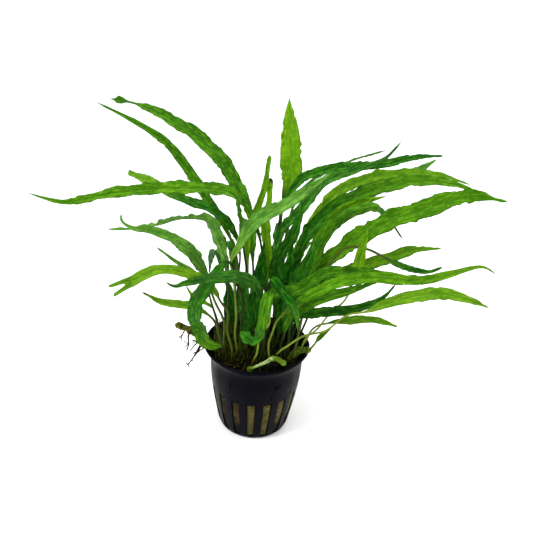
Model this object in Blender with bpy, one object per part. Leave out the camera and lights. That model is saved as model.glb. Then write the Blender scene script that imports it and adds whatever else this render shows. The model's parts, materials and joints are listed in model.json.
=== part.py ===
"""Potted narrow leaf java fern: a slotted net pot, rock wool, creeping rhizomes, roots and narrow fronds.

Lengths are in millimetres until they reach a mesh, which is in metres. +Z is up, the origin is the centre
of the pot's base, and -Y is the side that faces the viewer.
"""

import math

import bmesh
import bpy
import numpy as np

MM = 0.001
GAP = 0.3

POT_HEIGHT = 49.2
LIP_RADIUS = 27.5
BASE_RADIUS = 18.2
WALL = 1.2
FOOT_ROUNDING = 1.0
INNER_FOOT_ROUNDING = 0.4
POT_SIDES = 48
SLOT_COUNT = 17
# Angle of the first slot from +X, in degrees.
SLOT_FIRST = -92.5
# Height and width of each end of a slot.
SLOT_ENDS = [(2.0, 3.5), (26.0, 4.6)]
# Distances from the axis between which a slot is cut.
SLOT_INNER = 15.5
SLOT_OUTER = 30.0

WOOL_SIDES = 24
WOOL_SLACK = 0.4
WOOL_LIFT = 0.6
WOOL_FOOT_RADIUS = 16.9
WOOL_SHOULDER = (22.5, 38.8)
WOOL_CROWN = (19.0, 40.0)

STIPE_RADIUS = 0.65
# Share of the frond over which the stipe narrows, and how far.
STIPE_POINT = 0.03
STIPE_POINT_SIZE = 0.2
BLADE_THICKNESS = 0.5
# Share of the blade that widens from the stipe to the full width.
BLADE_RISE = 0.42
# Power of the curve that closes the blade at its tip: a higher one is blunter.
TIP_POWER = 1.9
# How soon the round stipe flattens into the blade.
FLATTENING = 6.0
RINGS = 16
RHIZOME_SIDES = 6
RHIZOME_RINGS = 14
ROOT_SIDES = 5
ROOT_RINGS = 6
# Size of a tube's end next to its middle.
TUBE_END = 0.6
STEPS_PER_SPAN = 24
SHARP_ANGLE = 40

# Outer wall from the foot to the lip, as (radius, height).
POT_OUTSIDE = [
    (BASE_RADIUS - FOOT_ROUNDING, 0.0),
    (BASE_RADIUS, 0.4),
    (19.1, 2.4),
    (20.9, 11.0),
    (23.2, 25.0),
    (24.1, 34.0),
    (24.5, 43.0),
    (25.4, 45.6),
    (LIP_RADIUS, 48.0),
    (LIP_RADIUS, POT_HEIGHT),
]

# Rhizomes: (name, radius, route).
RHIZOMES = [
    (
        "rhizome_front",
        1.7,
        [
            (-16, -10, 42.2), (-6, -12, 42.4), (6, -12, 42.4), (14, -10, 43), (22, -9, 51.6),
            (28, -9, 52),
        ],
    ),
    (
        "rhizome_middle",
        1.7,
        [
            (-42, -6, 61), (-34, -6, 58), (-27, -5, 53.4), (-20, -1, 45), (-8, 1, 42.3), (6, 1, 42.3),
            (18, 2, 42.3),
        ],
    ),
    (
        "rhizome_back",
        1.7,
        [
            (-15, 11, 42.3), (-5, 12, 42.3), (6, 12, 42.3), (15, 10, 42.3),
        ],
    ),
    (
        "rhizome_tip",
        0.9,
        [
            (-3, -19, 44.5), (-1, -21.4, 48), (4, -20.7, 50.6), (9, -19.4, 53), (12, -20.5, 52.6),
            (15, -22, 51.4),
        ],
    ),
]

# Roots that hang over the lip: (name, radius, route).
ROOTS = [
    (
        "roots_left",
        1.2,
        [
            (-30, -7, 53), (-33, -8, 48), (-34, -9, 44), (-33, -10, 39),
        ],
    ),
]

# Fronds: (name, route from the rhizome to the tip, blade width, bare share, face tilt, twist).
# Face tilt is the angle of the blade's upper face from straight up towards the viewer, in degrees.
FRONDS = [
    # Left side, from the highest down.
    (
        "frond_left_1",
        [
            (-1, 5, 44.4), (0, 8, 78), (0, 8, 101), (-7, 14, 115), (-18, 24, 132), (-33, 34, 145),
            (-58, 44, 156), (-71, 48, 159), (-84, 50, 160),
        ],
        7.4, 0.26, 50, 20,
    ),
    (
        "frond_left_2",
        [
            (-10, 3, 44.4), (-11, 3, 72), (-11, 2, 93), (-18, 6, 109), (-28, 9, 124), (-37, 12, 136),
            (-48, 14, 149), (-63, 15, 158), (-81, 16, 166),
        ],
        5.2, 0.30, 50, 15,
    ),
    (
        "frond_left_3",
        [
            (-7, 3, 44.4), (-7, 0, 76), (-9, 0, 104), (-12, -2, 122), (-14, -3, 131), (-25, -7, 135),
            (-50, -14, 136), (-70, -22, 135), (-85, -28, 133), (-100, -32, 138),
        ],
        6.2, 0.24, 45, 25,
    ),
    (
        "frond_left_4",
        [
            (-13, 2, 44.4), (-12, -2, 72), (-10, -4, 97), (-15, -2, 114), (-25, 0, 122), (-41, 6, 125),
            (-54, 12, 129), (-68, 18, 132),
        ],
        4.8, 0.35, 40, 60,
    ),
    (
        "frond_left_5",
        [
            (-13, -8, 44.4), (-15, -8, 72), (-17, -8, 99), (-21, -9, 111), (-25, -10, 120),
            (-37, -12, 122), (-48, -14, 119), (-60, -16, 117), (-71, -18, 117),
        ],
        7.2, 0.30, -45, 170,
    ),
    (
        "frond_left_6",
        [
            (-15, -8, 44.4), (-18, -12, 69), (-24, -16, 90), (-30, -20, 106), (-40, -23, 117),
            (-50, -25, 121), (-57, -27, 122.5), (-61, -28, 126), (-61, -28, 130),
        ],
        6.4, 0.35, 50, -20,
    ),
    (
        "frond_left_7",
        [
            (-16, -12, 44.2), (-22, -19, 81), (-27, -23, 97), (-38, -28, 108), (-46, -31, 116),
        ],
        2.6, 0.40, 50, 0,
    ),
    (
        "frond_left_8",
        [
            (-12, -13, 44.2), (-16, -18, 78), (-24, -30, 99), (-36, -35, 107), (-46, -38, 108),
            (-53, -40, 104.6), (-57.5, -42, 102.6),
        ],
        4.4, 0.35, 55, 10,
    ),
    (
        "frond_left_9",
        [
            (-1, -9, 44.4), (0, -15, 68), (1, -20, 86), (-5, -29, 101), (-16, -38, 107),
            (-29, -46, 108), (-35, -49, 107), (-39, -51, 110),
        ],
        6.0, 0.25, 60, 0,
    ),
    (
        "frond_left_10",
        [
            (-7, -14, 44.4), (-8, -20, 75), (-9, -22, 93), (-15, -28, 109), (-23, -35, 100),
            (-27, -34, 93), (-29, -31, 81), (-28, -27, 76), (-25, -20, 61), (-17, -18, 57),
        ],
        6.6, 0.40, 60, 160,
    ),
    (
        "frond_left_11",
        [
            (-18, -5, 45.6), (-23, -7, 66), (-33, -8, 73), (-48, -10, 76), (-57, -12, 82),
        ],
        4.3, 0.30, 45, 0,
    ),
    (
        "frond_left_12",
        [
            (-17, 5, 44.2), (-24, 8, 63), (-35, 14, 66), (-40, 20, 69),
        ],
        2.4, 0.40, 45, 0,
    ),
    # The crown, from left to right.
    (
        "frond_crown_1",
        [
            (-10, -9, 44.6), (-11, -14, 61), (-11, -16, 85), (-14, -18, 104), (-10, -18, 113),
            (-4, -16, 124), (6, -14, 130), (16, -12, 137), (30, -10, 148),
        ],
        6.4, 0.42, 60, 0,
    ),
    (
        "frond_crown_2",
        [
            (4, 4, 44.4), (5, -2, 78), (6, -2, 100), (9, 0, 114), (17, 1, 124), (27, 3, 138),
            (43, 5, 145), (54, 6, 150), (61, 6, 159),
        ],
        4.8, 0.25, 55, 15,
    ),
    (
        "frond_crown_3",
        [
            (8, 9, 44.2), (8, 9, 92), (8, 12, 115), (10, 13, 124), (17, 14, 135), (30, 20, 139),
            (57, 32, 139), (75, 38, 142), (91, 44, 142),
        ],
        4.6, 0.30, 55, 10,
    ),
    (
        "frond_crown_4",
        [
            (8, 15, 44.2), (11, 17, 100), (18, 22, 126), (38, 32, 138), (60, 38, 145),
        ],
        2.2, 0.35, 15, 0,
    ),
    (
        "frond_crown_5",
        [
            (3, 14, 44.4), (4, 14, 89), (7, 20, 107), (12, 28, 131), (11, 35, 147), (10, 40, 157),
            (9, 44, 167),
        ],
        10.8, 0.55, 78, 0,
    ),
    (
        "frond_crown_6",
        [
            (-7, 14, 44.4), (-7, 14, 80), (-8, 22, 99), (-4, 27, 113), (-1, 30, 123), (1, 34, 140),
        ],
        3.7, 0.28, 70, 0,
    ),
    (
        "frond_crown_7",
        [
            (2, 4, 44.4), (3, 4, 80), (3, 3, 99), (1, 5, 113), (2, 7, 128), (2, 8, 137),
        ],
        4.6, 0.28, 75, 0,
    ),
    (
        "frond_crown_8",
        [
            (8, -8, 44.8), (8, -9, 75), (8, -8, 102), (14, -8, 115), (17, -7, 126), (17, -6, 133),
        ],
        6.4, 0.22, 60, 20,
    ),
    # Right side, from the highest down.
    (
        "frond_right_1",
        [
            (13, 8, 44.6), (12, 13, 85), (25, 24, 103), (47, 34, 119), (72, 46, 127), (90, 53, 137),
        ],
        6.6, 0.22, 50, 0,
    ),
    (
        "frond_right_2",
        [
            (11, 4, 44.4), (10, 2, 87), (18, 8, 103), (25, 12, 115), (34, 15, 128), (49, 20, 135),
            (64, 22, 138), (85, 28, 137), (105, 32, 131),
        ],
        5.6, 0.20, 55, -10,
    ),
    (
        "frond_right_3",
        [
            (14, 4, 44.4), (14, 0, 76), (17, -2, 98), (22, 1, 113), (34, 5, 125), (47, 8, 132),
            (68, 9, 139), (86, 10, 139), (104, 11, 134.5),
        ],
        7.0, 0.16, 50, 0,
    ),
    (
        "frond_right_4",
        [
            (17, 0, 44.4), (20, 1, 81), (27, 0, 103), (30, -1, 117), (38, 0, 127), (57, 1, 134),
        ],
        5.2, 0.20, 50, 0,
    ),
    (
        "frond_right_5",
        [
            (16, -7, 47.6), (19, -7, 66), (20, -6, 79), (29, -6, 98), (38, -5, 108), (56, -8, 124),
            (73, -12, 134), (90, -15, 142), (106, -17, 141),
        ],
        8.6, 0.16, 50, 0,
    ),
    (
        "frond_right_6",
        [
            (15, -12, 46.4), (19, -12, 84), (23, -11, 101), (28, -7, 115), (36, -7, 125),
            (51, -4, 130), (59, 4, 122), (68, 5, 111),
        ],
        8.0, 0.14, 60, 0,
    ),
    (
        "frond_right_7",
        [
            (20, 0, 44.4), (27, 0, 72), (33, -1, 86), (41, -3, 95), (60, -4, 104), (71, -4, 109),
            (85, -4, 111),
        ],
        5.2, 0.18, 45, 0,
    ),
    (
        "frond_right_8",
        [
            (20, 4, 44.0), (24, 5, 68), (33, 9, 82), (54, 14, 89), (79, 22, 95),
        ],
        4.4, 0.18, 45, 0,
    ),
    (
        "frond_right_9",
        [
            (18, -12, 49.0), (24, -14, 84), (29, -14, 98), (38, -14, 113), (49, -14, 113),
            (62, -13, 106), (78, -12, 102), (85, -12, 105),
        ],
        3.2, 0.68, 50, 0,
    ),
    (
        "frond_right_10",
        [
            (22, -11, 53.6), (28, -14, 68), (38, -18, 84), (43, -21, 100), (44, -22, 110),
            (46, -23, 127),
        ],
        5.0, 0.55, 70, 0,
    ),
    (
        "frond_right_11",
        [
            (4, -15, 44.2), (5, -21, 76), (6, -24, 92), (18, -27, 97), (29, -29, 107), (44, -31, 110),
            (61, -32, 110),
        ],
        5.6, 0.20, 55, 0,
    ),
    (
        "frond_right_12",
        [
            (12, -13, 45.0), (16, -22, 80), (31, -27, 94), (41, -29, 99), (54, -29, 105),
        ],
        5.4, 0.16, 55, 0,
    ),
    (
        "frond_right_13",
        [
            (6, -15, 44.6), (8, -24, 75), (17, -32, 92), (26, -35, 101), (37, -37, 108),
            (51, -38, 111), (67, -37, 110), (80, -36, 113), (95, -34, 117), (103, -33, 113),
        ],
        5.2, 0.16, 55, 0,
    ),
    (
        "frond_right_14",
        [
            (14, -13, 46.6), (18, -19, 77), (32, -24, 84), (45, -26, 88), (56, -26, 94),
            (62, -25, 102),
        ],
        4.8, 0.16, 55, 0,
    ),
    (
        "frond_right_15",
        [
            (10, -19, 55), (14, -22, 62), (27, -28, 75), (38, -33, 85), (50, -36, 94),
            (62, -38, 101), (77, -40, 106), (90, -40, 104), (100, -39, 100),
        ],
        5.4, 0.42, 55, 0,
    ),
    (
        "frond_right_16",
        [
            (24, -6, 53.8), (31, -5, 64), (44, -6, 69), (58, -7, 71), (70, -7, 68),
        ],
        4.0, 0.22, 50, 0,
    ),
    (
        "frond_right_17",
        [
            (27, -12, 54.6), (32, -13, 64), (36, -14, 69),
        ],
        2.6, 0.20, 50, 0,
    ),
    (
        "frond_right_18",
        [
            (2, -15, 44.4), (4, -19, 80), (5, -29, 103), (12, -38, 99), (17, -41, 92), (18, -41, 84),
        ],
        4.4, 0.55, 65, 0,
    ),
    # Short fronds that fill the middle of the plant.
    (
        "frond_heart_1",
        [
            (-3, -9, 44.6), (-2, -9, 75), (0, -10, 99), (1, -11, 113),
        ],
        6.8, 0.16, 65, 0,
    ),
    (
        "frond_heart_2",
        [
            (11, -8, 44.8), (15, -15, 78), (18, -18, 97), (22, -18, 110), (25, -18, 118),
        ],
        8.4, 0.16, 60, 0,
    ),
    (
        "frond_heart_3",
        [
            (7, -9, 44.8), (12, -11, 71), (13, -12, 92), (14, -12.5, 114),
        ],
        8.6, 0.14, 65, 0,
    ),
    (
        "frond_heart_4",
        [
            (-6, -8, 44.6), (-6, -8, 70), (-8, -9, 85), (-6, -10, 97),
        ],
        7.0, 0.14, 65, 0,
    ),
    (
        "frond_heart_5",
        [
            (-11, 3, 44.4), (-13, 5, 58), (-15, 8, 70), (-17, 9, 80),
        ],
        8.6, 0.10, 65, 0,
    ),
    (
        "frond_heart_6",
        [
            (-2, -1, 44.6), (-3, -2, 60), (-3, -3, 74), (-2, -4, 86),
        ],
        8.4, 0.10, 65, 0,
    ),
    (
        "frond_front",
        [
            (-2, -15, 44.4), (1, -22, 60), (4.4, -29, 80), (4.6, -33, 97), (3.4, -39.7, 95.7),
            (2, -43, 86), (0.6, -40.5, 78), (-3, -37.4, 75.2), (-7.5, -34, 77),
        ],
        4.7, 0.38, 40, 0,
    ),
    # Fronds that arch over the far side.
    (
        "frond_back_1",
        [
            (-12, 14, 44.4), (-14, 24, 74), (-18, 36, 88), (-22, 46, 83), (-24, 53, 70),
        ],
        5.4, 0.30, -30, 0,
    ),
    (
        "frond_back_2",
        [
            (-4, 15, 44.4), (-5, 26, 82), (-8, 44, 98), (-12, 60, 90), (-15, 71, 74),
        ],
        6.0, 0.30, -35, 0,
    ),
    (
        "frond_back_3",
        [
            (6, 15, 44.4), (7, 26, 82), (9, 44, 96), (12, 60, 90), (16, 72, 76),
        ],
        5.6, 0.30, -35, 0,
    ),
    (
        "frond_back_4",
        [
            (13, 13, 44.4), (17, 24, 76), (24, 36, 90), (31, 48, 85), (36, 57, 70),
        ],
        5.2, 0.30, -30, 0,
    ),
    (
        "frond_back_5",
        [
            (0, 15, 44.2), (0, 26, 66), (1, 40, 76), (3, 54, 70), (5, 62, 56),
        ],
        4.8, 0.30, -30, 0,
    ),
    (
        "frond_back_6",
        [
            (-16, 11, 44.4), (-20, 26, 72), (-26, 42, 80), (-30, 56, 70), (-32, 64, 54),
        ],
        4.6, 0.30, -30, 0,
    ),
    (
        "frond_back_7",
        [
            (17, 9, 44.4), (22, 26, 72), (30, 40, 80), (37, 54, 70), (40, 62, 54),
        ],
        4.6, 0.30, -30, 0,
    ),
]


# The share of a blade that narrows to its tip, where it isn't a half. A small share makes a blunt tip.
TAPERS = {
    "frond_left_2": 0.65,
    "frond_left_4": 0.15,
    "frond_left_6": 0.75,
    "frond_left_8": 0.2,
    "frond_left_10": 0.12,
    "frond_crown_3": 0.3,
    "frond_crown_6": 0.35,
    "frond_crown_7": 0.45,
    "frond_right_1": 0.22,
    "frond_right_3": 0.4,
    "frond_right_4": 0.35,
    "frond_right_5": 0.3,
    "frond_right_6": 0.8,
    "frond_right_7": 0.3,
    "frond_right_15": 0.4,
    "frond_right_16": 0.4,
    "frond_front": 0.14,
}
USUAL_TAPER = 0.5
FORKED = "frond_left_8"
FORK_DEPTH = 9.0
FORK_SPREAD = 0.55


def make_material(name, colour, roughness, coat=0.0):
    material = bpy.data.materials.new(name)
    material.use_nodes = True
    shader = material.node_tree.nodes["Principled BSDF"]
    shader.inputs["Base Color"].default_value = (*colour, 1.0)
    shader.inputs["Roughness"].default_value = roughness
    shader.inputs["Metallic"].default_value = 0.0
    shader.inputs["Coat Weight"].default_value = coat
    return material


def make_object(name, points, faces, material):
    mesh = bpy.data.meshes.new(name)
    mesh.from_pydata([tuple(MM * float(c) for c in point) for point in points], [], faces)
    mesh.materials.append(material)
    shape = bmesh.new()
    shape.from_mesh(mesh)
    bmesh.ops.recalc_face_normals(shape, faces=shape.faces)
    shape.to_mesh(mesh)
    shape.free()
    mesh.shade_smooth()
    mesh.set_sharp_from_angle(angle=math.radians(SHARP_ANGLE))
    made = bpy.data.objects.new(name, mesh)
    bpy.context.scene.collection.objects.link(made)
    return made


def unit(vector):
    return vector / np.linalg.norm(vector)


def smooth_route(points, count):
    """Evenly spaced points on a centripetal Catmull-Rom curve through the given points."""
    given = np.array(points, float)
    given = np.vstack([2 * given[0] - given[1], given, 2 * given[-1] - given[-2]])
    gaps = np.sqrt(np.linalg.norm(np.diff(given, axis=0), axis=1))
    knots = np.concatenate([[0.0], np.cumsum(gaps)])
    dense = []
    for i in range(1, len(given) - 2):
        a, b, c, d = given[i - 1 : i + 3]
        ta, tb, tc, td = knots[i - 1 : i + 3]
        t = np.linspace(tb, tc, STEPS_PER_SPAN, endpoint=False)[:, None]
        ab = ((tb - t) * a + (t - ta) * b) / (tb - ta)
        bc = ((tc - t) * b + (t - tb) * c) / (tc - tb)
        cd = ((td - t) * c + (t - tc) * d) / (td - tc)
        abc = ((tc - t) * ab + (t - ta) * bc) / (tc - ta)
        bcd = ((td - t) * bc + (t - tb) * cd) / (td - tb)
        dense.append(((tc - t) * abc + (t - tb) * bcd) / (tc - tb))
    dense = np.vstack(dense + [given[-2][None]])
    along = np.concatenate([[0.0], np.cumsum(np.linalg.norm(np.diff(dense, axis=0), axis=1))])
    wanted = np.linspace(0.0, along[-1], count)
    return np.stack([np.interp(wanted, along, dense[:, axis]) for axis in range(3)], axis=1)


def turned_frames(centres, first_normal, at):
    """Tangents and normals along a curve, carried without twist from the point at index at."""
    tangents = np.gradient(centres, axis=0)
    tangents /= np.linalg.norm(tangents, axis=1)[:, None]
    normals = np.zeros_like(centres)
    normals[at] = unit(first_normal - (first_normal @ tangents[at]) * tangents[at])
    for i in range(at + 1, len(centres)):
        normals[i] = unit(normals[i - 1] - (normals[i - 1] @ tangents[i]) * tangents[i])
    for i in range(at - 1, -1, -1):
        normals[i] = unit(normals[i + 1] - (normals[i + 1] @ tangents[i]) * tangents[i])
    return tangents, normals


def ring_mesh(rings):
    """Points and faces of a closed skin over rings that all have the same number of points."""
    around = len(rings[0])
    points = [point for ring in rings for point in ring]
    faces = []
    for i in range(len(rings) - 1):
        for j in range(around):
            k = (j + 1) % around
            faces.append((i * around + j, i * around + k, (i + 1) * around + k, (i + 1) * around + j))
    faces.append(tuple(range(around)))
    faces.append(tuple(range(len(points) - around, len(points))))
    return points, faces


def blade_half_width(share, width, bare, taper):
    """Half the frond's width at a share of its length: a stipe, then a blade that tapers to its tip."""
    along = max(0.0, (share - bare) / (1.0 - bare))
    rise = min(1.0, along / BLADE_RISE)
    fall = min(1.0, (1.0 - along) / taper)
    blade = 0.5 * width * rise * rise * (3 - 2 * rise) * (1 - (1 - fall) ** TIP_POWER)
    stipe = STIPE_RADIUS * min(1.0, max(STIPE_POINT_SIZE, (1.0 - share) / STIPE_POINT))
    return max(blade, stipe)


def make_frond(name, route, width, bare, tilt, twist, material):
    centres = smooth_route(route, RINGS)
    middle = round((bare + 1) / 2 * (RINGS - 1))
    lean = math.radians(tilt)
    tangents, normals = turned_frames(centres, np.array([0.0, -math.sin(lean), math.cos(lean)]), middle)
    rings = []
    for i, (centre, tangent, normal) in enumerate(zip(centres, tangents, normals)):
        share = i / (RINGS - 1)
        turn = math.radians(twist) * (share - (bare + 1) / 2)
        side = np.cross(tangent, normal)
        up = normal * math.cos(turn) - side * math.sin(turn)
        side = np.cross(tangent, up)
        half = blade_half_width(share, width, bare, TAPERS.get(name, USUAL_TAPER))
        blend = min(1.0, max(0.0, (share - bare) * FLATTENING))
        thick = STIPE_RADIUS + (BLADE_THICKNESS / 2 - STIPE_RADIUS) * blend
        rings.append([centre - side * half, centre + up * thick, centre + side * half, centre - up * thick])
    if name == FORKED:
        prong = side * width * FORK_SPREAD
        rings[-1][0] = centres[-1] - prong + tangents[-1] * FORK_DEPTH
        rings[-1][2] = centres[-1] + prong + tangents[-1] * FORK_DEPTH
    return make_object(name, *ring_mesh(rings), material)


def make_tube(name, route, radius, sides, count, material):
    centres = smooth_route(route, count)
    tangents, normals = turned_frames(centres, np.array([0.1, 0.2, 1.0]), 0)
    rings = []
    for i, (centre, tangent, normal) in enumerate(zip(centres, tangents, normals)):
        side = np.cross(tangent, normal)
        size = radius * (TUBE_END if i in (0, count - 1) else 1.0)
        turns = [2 * math.pi * j / sides for j in range(sides)]
        rings.append([centre + size * (normal * math.cos(a) + side * math.sin(a)) for a in turns])
    return make_object(name, *ring_mesh(rings), material)


def turned_solid(name, profile, sides, material):
    """A solid turned about Z from a profile that starts and ends on the axis."""
    points = [(0.0, 0.0, profile[0][1]), (0.0, 0.0, profile[-1][1])]
    rows = profile[1:-1]
    for radius, height in rows:
        for j in range(sides):
            a = 2 * math.pi * j / sides
            points.append((radius * math.cos(a), radius * math.sin(a), height))
    faces = []
    for j in range(sides):
        k = (j + 1) % sides
        faces.append((0, 2 + k, 2 + j))
        last = 2 + (len(rows) - 1) * sides
        faces.append((1, last + j, last + k))
        for i in range(len(rows) - 1):
            low = 2 + i * sides
            faces.append((low + j, low + k, low + sides + k, low + sides + j))
    return make_object(name, points, faces, material)


def make_pot():
    plastic = make_material("pot_black_plastic", (0.012, 0.014, 0.018), 0.28)
    inside = [(radius - WALL, height) for radius, height in reversed(POT_OUTSIDE[2:-2])]
    profile = [(0.0, 0.0)] + POT_OUTSIDE + [(LIP_RADIUS - WALL, POT_HEIGHT)] + inside
    profile += [(inside[-1][0] - INNER_FOOT_ROUNDING, WALL), (0.0, WALL)]
    pot = turned_solid("net_pot", profile, POT_SIDES, plastic)
    corners = []
    faces = []
    for k in range(SLOT_COUNT):
        a = math.radians(SLOT_FIRST) + 2 * math.pi * k / SLOT_COUNT
        out = np.array([math.cos(a), math.sin(a), 0.0])
        side = np.array([-math.sin(a), math.cos(a), 0.0])
        first = len(corners)
        for height, width in SLOT_ENDS:
            for reach, edge in ((SLOT_INNER, -1), (SLOT_OUTER, -1), (SLOT_OUTER, 1), (SLOT_INNER, 1)):
                corners.append(out * reach + side * edge * width / 2 + np.array([0, 0, height]))
        for quad in ((3, 2, 1, 0), (4, 5, 6, 7), (0, 1, 5, 4), (1, 2, 6, 5), (2, 3, 7, 6), (3, 0, 4, 7)):
            faces.append(tuple(first + corner for corner in quad))
    cutter = make_object("slot_cutter", corners, faces, plastic)
    cutter.hide_render = True
    cutter.display_type = "WIRE"
    cut = pot.modifiers.new("Slots", "BOOLEAN")
    cut.operation = "DIFFERENCE"
    cut.object = cutter


def make_wool():
    wool = make_material("rock_wool", (0.16, 0.13, 0.05), 0.95)
    profile = [(0.0, WALL + GAP), (WOOL_FOOT_RADIUS, WALL + GAP)]
    for radius, height in POT_OUTSIDE[2:6]:
        profile.append((radius - WALL - WOOL_SLACK, height + WOOL_LIFT))
    profile += [WOOL_SHOULDER, WOOL_CROWN, (0.0, WOOL_CROWN[1])]
    turned_solid("rockwool_plug", profile, WOOL_SIDES, wool)


def clear_scene():
    for old in list(bpy.data.objects):
        bpy.data.objects.remove(old, do_unlink=True)


def main():
    clear_scene()
    make_pot()
    make_wool()
    bark = make_material("rhizome_brown", (0.06, 0.045, 0.015), 0.6)
    for name, radius, route in RHIZOMES:
        make_tube(name, route, radius, RHIZOME_SIDES, RHIZOME_RINGS, bark)
    hair = make_material("root_dark_brown", (0.03, 0.012, 0.006), 0.8)
    for name, radius, route in ROOTS:
        make_tube(name, route, radius, ROOT_SIDES, ROOT_RINGS, hair)
    for name, route, width, bare, tilt, twist in FRONDS:
        green = make_material(name + "_green", (0.09, 0.22, 0.02), 0.42, 0.2)
        make_frond(name, route, width, bare, tilt, twist, green)


main()
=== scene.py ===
"""Looks for the potted narrow leaf java fern: fronds, net pot, rock wool, rhizomes and roots.

Lengths are in millimetres until they reach a mesh, which is in metres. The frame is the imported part's own:
+Z up, the origin under the middle of the pot, and -Y towards the viewer.
"""

import json
import math

import bpy
import numpy as np
from mathutils import Matrix, Vector, noise


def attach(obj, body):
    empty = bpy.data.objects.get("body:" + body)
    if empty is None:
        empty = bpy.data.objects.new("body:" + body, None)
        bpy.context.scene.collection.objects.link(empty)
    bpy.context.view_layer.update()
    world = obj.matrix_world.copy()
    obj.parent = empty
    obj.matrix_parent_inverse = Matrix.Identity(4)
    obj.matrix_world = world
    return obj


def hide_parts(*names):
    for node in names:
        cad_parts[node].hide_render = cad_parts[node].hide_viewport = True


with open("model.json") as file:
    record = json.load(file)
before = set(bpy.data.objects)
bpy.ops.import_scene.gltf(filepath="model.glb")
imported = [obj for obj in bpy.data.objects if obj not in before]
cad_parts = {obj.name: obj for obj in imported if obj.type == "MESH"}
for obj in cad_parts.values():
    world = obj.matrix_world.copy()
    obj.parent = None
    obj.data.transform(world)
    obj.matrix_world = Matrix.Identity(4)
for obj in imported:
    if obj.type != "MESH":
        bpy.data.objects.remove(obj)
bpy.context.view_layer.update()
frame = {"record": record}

MM = 0.001
# Millimetres to the centimetre, the unit of the fronds' own coordinates.
CM = 10.0

# Camera, fitted to the ellipses of the pot's lip and base.
CAMERA_TARGET = (2.6, 0.0, 93.8)
CAMERA_DISTANCE = 318.0
CAMERA_DOWN = 26.9
CAMERA_ROLL = 3.41
LENS = 43.56
# Brightness of the studio at the horizon and overhead.
SKY_LOW = 0.44
SKY_HIGH = 1.85
# Soft lamps: (name, place, width, power in watts).
LAMPS = [
    ("key", (-460, -260, 620), 300, 4.0),
    ("back", (260, 480, 560), 380, 1.6),
    ("side", (620, 60, 190), 260, 1.5),
]
FLOOR_REACH = 9000.0
WHITE = (1.0, 1.0, 1.0, 1.0)
FLOOR_COLOUR = (0.95, 0.95, 0.95, 1.0)

# Net pot, as in the part.
POT_HEIGHT = 49.2
LIP_RADIUS = 27.5
BASE_RADIUS = 18.2
WALL = 1.2
LIP_ROLL = 0.55
POT_SIDES = 204
WALL_ROWS = 70
SLOT_COUNT = 17
SLOT_FIRST = -92.5
# Each slot's height and width at its lower and upper end.
SLOT_ENDS = [(2.0, 3.5), (26.0, 4.6)]
SLOT_INNER = 15.5
SLOT_OUTER = 30.0
# Radius and height of points up the wall's outside.
POT_OUTSIDE = [
    (BASE_RADIUS - 1.0, 0.0), (BASE_RADIUS, 0.4), (19.1, 2.4), (20.9, 11.0), (23.2, 25.0),
    (24.1, 34.0), (24.5, 43.0), (25.4, 45.6), (LIP_RADIUS, 48.0), (LIP_RADIUS, POT_HEIGHT),
]
# The wall's radius where it has its nicks and where it has its dents.
WALL_RADIUS = 24.2
DENT_RADIUS = 24.0
# Waves that put the wall out of round: (height, number round the pot, phase).
POT_WAVES = [(0.16, 3, 0.7), (0.10, 7, 2.1), (0.06, 17, 0.0)]
# Dents in the upper wall: (degrees from +X, height, size).
POT_DENTS = [(-40.0, 30.0, 0.9), (-12.0, 41.0, 1.0)]
DENT_DEPTH = 0.5
# Dark nicks in the wall: (degrees from +X, height, half its width, half its height).
POT_NICKS = [
    (-62.5, 36.3, 1.10, 0.90),
    (-57.5, 37.3, 1.00, 0.50),
    (-60.0, 35.7, 0.50, 0.40),
    (-120.0, 35.4, 0.40, 2.60),
    (-67.3, 29.6, 0.35, 1.80),
    (-66.0, 32.6, 0.40, 0.50),
]

# Rock wool, with room left inside the wall.
WOOL_SIDES = 544
WOOL_SIDE_ROWS = 110
WOOL_TOP_ROWS = 40
WOOL_SLACK = 0.5
WOOL_TOP = 40.0
WOOL_BULGE = 1.25
# How far the wool that swells into a slot stays from the slot's sides.
SLOT_CLEARANCE = 0.1
# Heights between which the wool swells into the slots.
WOOL_BULGE_HEIGHTS = (2.05, 25.4)

# Fronds, as in the part, with finer meshes.
STIPE_RADIUS = 0.65
STIPE_POINT = 0.03
BLADE_THICKNESS = 0.42
BLADE_RISE = 0.42
TIP_POWER = 1.9
FLATTENING = 6.0
STEPS_PER_SPAN = 24
RING_SPACING = 0.7
LEAST_RINGS = 40
MOST_RINGS = 240
ACROSS = 13
# The midrib: half its width, its groove in the upper face and its ridge under the lower one.
RIB_HALF_WIDTH = 0.42
RIB_GROOVE = 0.05
RIB_RIDGE = 0.34
# The blade's quilting: height, wavelength, and how far it slants from midrib to margin, in radians.
QUILT_HEIGHT = 0.17
QUILT_LENGTH = 3.1
QUILT_SLANT = 5.0
# Waves of the margins as (height, wavelength). Heights are shares of half the width, or of it for ruffles.
MARGIN_CRIMPS = [(0.075, 5.5), (0.045, 2.6)]
MARGIN_SWELLS = [(0.085, 17.0)]
RUFFLE_WAVES = [(0.085, 14.0), (0.060, 6.0), (0.02, 2.8)]
# Waves of a bare stipe, sideways and up, as (height, wavelength).
STIPE_SWAY = [(0.8, 36.0)]
STIPE_BOB = [(0.7, 30.0)]

# Rhizomes and roots.
STEM_SIDES = 28
STEM_STEP = 0.5
# Knobs on the stems: (distance from the start as a share of the length, width of the knob, growth).
KNOBS = {
    "tip": [(0.05, 1.3, 0.95), (0.66, 1.5, 0.45), (0.79, 2.0, 0.50), (0.94, 1.5, 0.70)],
    "front": [(0.80, 1.8, 0.22), (0.97, 1.6, 0.18)],
    "middle": [(0.03, 1.6, 0.22), (0.12, 1.6, 0.28), (0.20, 1.3, 0.20)],
}
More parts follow.
